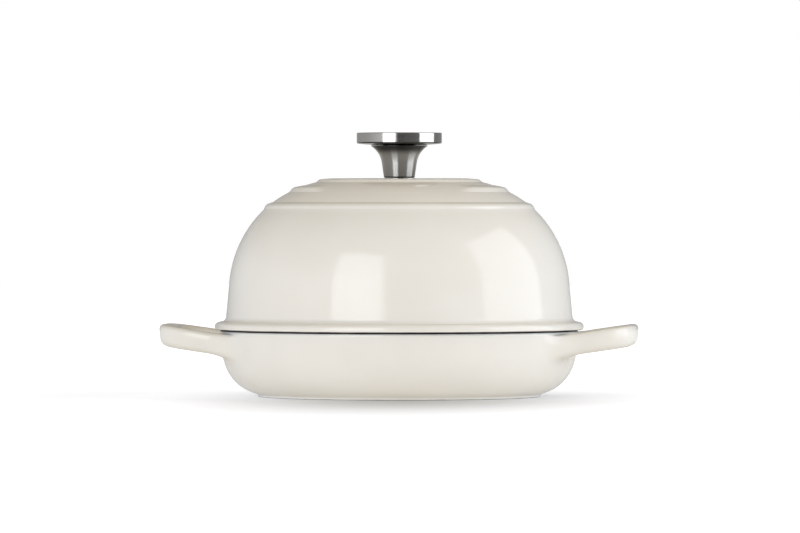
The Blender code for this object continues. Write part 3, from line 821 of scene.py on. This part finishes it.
# Painted pools of light: in gloss the table in front of each window glows as bright as the window
far_out = table.step(table.node("ShaderNodeVectorMath", {"operation": "LENGTH"}, {0: table.place},
                                output="Value"), *POOL_R)
painted_light_pools = (painted_pool(LEFT_AZIMUTH, LEFT_WIDTH) * LEFT_RADIANCE
         + painted_pool(RIGHT_AZIMUTH, RIGHT_WIDTH) * RIGHT_RADIANCE) * far_out
glow = table.node("ShaderNodeEmission", {}, {
    "Color": table.mix(rays["Diffuse"], GLOW_COLOUR, TABLE_LIGHT),
    "Strength": ((rays["Camera"] + rays["Transmission"] + rays["Glossy"] * GLOW_IN_GLOSS) * white_less_painted_shadow
                 + rays["Glossy"] * painted_light_pools + rays["Diffuse"])})
table.feed(table.shader, {"Base Color": (FLOOR_WHITE,) * 3, "Roughness": FLOOR_ROUGHNESS,
                          "Specular IOR Level": 0.0})
top = table.node("ShaderNodeAddShader", {}, {0: Value(table, table.shader.outputs[0]), 1: glow})
both = table.node("ShaderNodeMixShader", {}, {
    0: table.node("ShaderNodeNewGeometry", output="Backfacing"), 1: top,
    2: table.node("ShaderNodeBsdfTransparent")})
table.tree.links.new(both.socket, table.tree.nodes["Material Output"].inputs["Surface"])
table.cover(floor)

# The room, as only the steel and the gloss of the enamel see it: grey round the sides, with a
# dark flag beside the camera. Stops are (degrees from the camera to its right, grey).
ROOM_GREYS = ((-180, 0.34), (-90, 0.50), (-48, 0.75), (-8, 0.70), (-6, 0.08), (36, 0.08),
              (41, 0.22), (57, 0.36), (107, 0.76), (150, 0.60), (180, 0.34))
bpy.ops.mesh.primitive_uv_sphere_add(radius=ROOM_R, segments=96, ring_count=48)
room = bpy.context.object
room.name = "studio_room"
room.visible_camera = room.visible_diffuse = room.visible_shadow = False
room.visible_transmission = False
walls = Finish("grey_room")
side = walls.node("ShaderNodeSeparateXYZ", {}, {"Vector": walls.place})
share = (azimuth_of(side) - EYE_TURN) * (0.5 / pi) + 0.5
ramp = walls.node("ShaderNodeValToRGB", {}, {"Fac": walls.node(
    "ShaderNodeMath", {"operation": "FRACT"}, {0: share})})
stops = ramp.socket.node.color_ramp.elements
for i, (degrees_right, grey) in enumerate(ROOM_GREYS):
    stop = stops[i] if i < 2 else stops.new(0.5)
    stop.position = degrees_right / 360 + 0.5
    stop.color = (grey, grey, grey, 1)
shown = walls.mix(walls.step(side.beside("Z"), *ROOM_CEILING_Z), ramp, ROOM_CEILING)
lit = walls.node("ShaderNodeEmission", {}, {"Color": shown, "Strength": 1.0})
walls.tree.links.new(lit.socket, walls.tree.nodes["Material Output"].inputs["Surface"])
walls.cover(room)

# The rest of the studio's light: brighter from both sides than from front and back, with the
# dimmest stretch a little left of the front, and least from overhead. The camera sees plain
# white there.
world = bpy.data.worlds.new("white_studio")
bpy.context.scene.world = world
world.use_nodes = True
sky = Nodes(world.node_tree)
sky.tree.nodes.clear()
sideways = sky.node("ShaderNodeSeparateXYZ", {}, {
    "Vector": sky.node("ShaderNodeTexCoord", output="Generated")})
to_side = sky.step(sideways.math("ABSOLUTE", sideways + SIDE_SHIFT, 0.0), *SIDE_EDGES)
horizon = sky.mix(to_side, HORIZON_LIGHT, SIDE_LIGHT)
upward = sky.step(sideways.beside("Z"), *OVERHEAD_EDGES)
ambient = sky.node("ShaderNodeBackground", {}, {"Color": sky.mix(upward, horizon, OVERHEAD_LIGHT)})
white = sky.node("ShaderNodeBackground", {}, {"Color": (1.0, 1.0, 1.0)})
straight, glossy, through = [sky.node("ShaderNodeLightPath", output="Is %s Ray" % kind)
                             for kind in ("Camera", "Glossy", "Transmission")]
seen = straight.math("MAXIMUM", straight, glossy.math("MAXIMUM", glossy, through))
both = sky.node("ShaderNodeMixShader", {}, {0: seen, 1: ambient, 2: white})
sky.node("ShaderNodeOutputWorld", {}, {"Surface": both}, output=None)


def window(name, azimuth, low, high, width, radiance):
    """A soft window of light that faces the oven; azimuth runs from the front to the right."""
    lamp = bpy.data.objects.new(name, bpy.data.lights.new(name, "AREA"))
    height = high - low
    lamp.data.shape = "RECTANGLE"
    lamp.data.size, lamp.data.size_y = width, height
    lamp.data.energy = radiance * pi * width * height
    lamp.data.color = WINDOW_COLOUR
    lamp.location = (WINDOW_DISTANCE * sin(azimuth), -WINDOW_DISTANCE * cos(azimuth),
                     (low + high) / 2)
    lamp.rotation_euler = (pi / 2, 0, azimuth)
    bpy.context.scene.collection.objects.link(lamp)
    return lamp


window("window_left", LEFT_AZIMUTH, WINDOW_LOW, LEFT_HIGH, LEFT_WIDTH, LEFT_RADIANCE)
window("window_right", RIGHT_AZIMUTH, WINDOW_LOW, RIGHT_HIGH, RIGHT_WIDTH, RIGHT_RADIANCE)
back = window("window_back", BACK_AZIMUTH, BACK_LOW, BACK_HIGH, BACK_WIDTH, BACK_RADIANCE)
back.visible_glossy = False

camera = bpy.data.objects.new("camera", bpy.data.cameras.new("camera"))
bpy.context.scene.collection.objects.link(camera)
bpy.context.scene.camera = camera
camera.data.sensor_width = SENSOR_W
camera.data.lens = SENSOR_W * EYE_DISTANCE / (IMAGE_W * METRES_PER_PIXEL)
camera.data.clip_end = EYE_REACH
across = (IMAGE_W / 2 - AXIS_PX_X) * METRES_PER_PIXEL
aim_point = Vector((cos(EYE_TURN) * across, sin(EYE_TURN) * across,
                    (TABLE_PX_Y - IMAGE_H / 2) * METRES_PER_PIXEL))
camera.location = (sin(EYE_TURN) * EYE_DISTANCE, -cos(EYE_TURN) * EYE_DISTANCE, EYE_Z)
camera.rotation_euler = (camera.location - aim_point).to_track_quat("Z", "Y").to_euler()
bpy.context.scene.view_settings.view_transform = "Standard"
